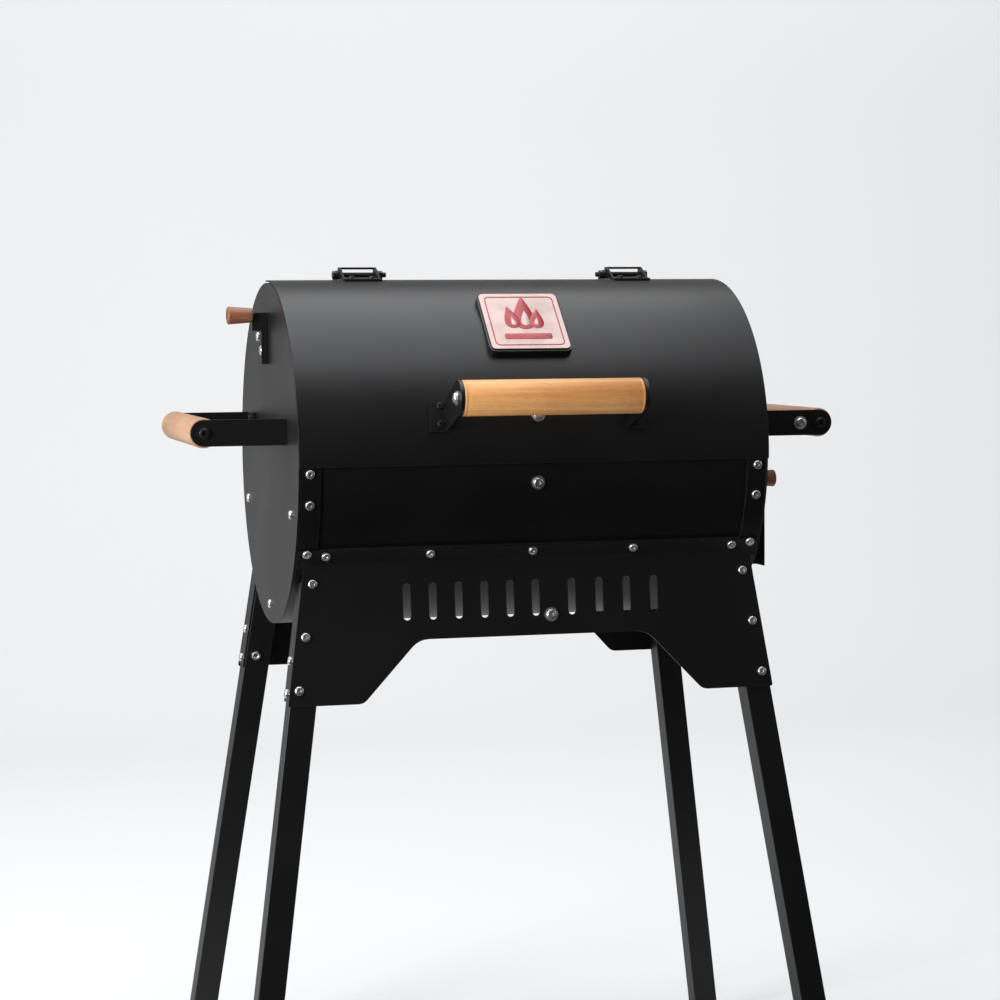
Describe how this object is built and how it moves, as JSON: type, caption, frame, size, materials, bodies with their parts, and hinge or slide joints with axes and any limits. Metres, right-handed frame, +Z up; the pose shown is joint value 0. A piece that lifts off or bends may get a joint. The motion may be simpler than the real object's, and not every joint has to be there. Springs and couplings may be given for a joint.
{
  "type": "barrel smoker",
  "caption": "Barrel charcoal smoker on four splayed legs, with a hinged lid, a charcoal drawer through one end, an exhaust damper and wooden grips.",
  "frame": {"origin": "on the floor, under the middle of the bounding box", "axes": "+X along the drum to the drawer end, +Y to the back, +Z up"},
  "size_m": [0.771, 0.5154, 0.998],
  "materials": {
    "black_coat": "satin black powder coat",
    "zinc_steel": "bright zinc",
    "bare_steel": "bare sheet steel",
    "grate_steel": "seasoned steel rod",
    "beech": "oiled beech",
    "pale_beech": "oiled beech, pale",
    "reddish_wood": "reddish turned wood",
    "badge_steel": "brushed steel",
    "foot_plastic": "matte black"
  },
  "bodies": {
    "frame": {"drum_shell": "black_coat", "front_panel": "black_coat", "left_end_disc": "black_coat", "right_end_disc": "black_coat", "front_ledge_bolt": "zinc_steel", "rear_ledge_bolt": "zinc_steel", "front_grate_ledge": "black_coat", "rear_grate_ledge": "black_coat", "left_cooking_grate": "grate_steel", "right_cooking_grate": "grate_steel", "front_drawer_rail": "bare_steel", "rear_drawer_rail": "bare_steel", "drawer_collar": "black_coat", "drum_hinge_leaf_left": "black_coat", "hinge_pin_left": "black_coat", "drum_hinge_leaf_right": "black_coat", "hinge_pin_right": "black_coat", "front_stand_plate": "black_coat", "rear_stand_plate": "black_coat", "front_stand_bolt": "zinc_steel", "front_left_leg": "black_coat", "rear_left_leg": "black_coat", "front_left_foot_cap": "foot_plastic", "rear_left_foot_cap": "foot_plastic", "front_right_leg": "black_coat", "rear_right_leg": "black_coat", "front_right_foot_cap": "foot_plastic", "rear_right_foot_cap": "foot_plastic", "left_handle_front_arm": "black_coat", "left_handle_front_bolt": "black_coat", "left_handle_rear_arm": "black_coat", "left_handle_rear_bolt": "black_coat", "left_handle_grip": "pale_beech", "right_handle_front_arm": "black_coat", "right_handle_front_bolt": "black_coat", "right_handle_rear_arm": "black_coat", "right_handle_rear_bolt": "black_coat", "right_handle_grip": "pale_beech", "damper_pivot_bolt": "zinc_steel"},
    "lid": {"lid_shell": "black_coat", "lid_handle_bracket_left": "black_coat", "lid_handle_bolt_left": "zinc_steel", "lid_hinge_leaf_left": "black_coat", "lid_handle_bracket_right": "black_coat", "lid_handle_bolt_right": "zinc_steel", "lid_hinge_leaf_right": "black_coat", "lid_handle_grip": "beech", "lid_centre_bolt": "zinc_steel", "badge_back": "black_coat", "badge_face": "badge_steel"},
    "damper": {"damper_plate": "black_coat", "damper_knob": "reddish_wood"},
    "drawer": {"drawer_tray": "bare_steel", "drawer_front": "black_coat", "drawer_knob_bracket": "black_coat", "drawer_knob": "reddish_wood"}
  },
  "joints": [
    {"name": "lid_hinge", "type": "hinge", "parent": "frame", "child": "lid", "pos_m": [0, 0.02629, 0.989], "axis": [-1, 0, 0], "range_deg": [0, 125]},
    {"name": "damper_turn", "type": "hinge", "parent": "frame", "child": "damper", "pos_m": [-0.276, 0.03029, 0.901], "axis": [1, 0, 0], "range_deg": [-80, 80]},
    {"name": "drawer_slide", "type": "slide", "parent": "frame", "child": "drawer", "axis": [1, 0, 0], "range_m": [0, 0.32]}
  ]
}
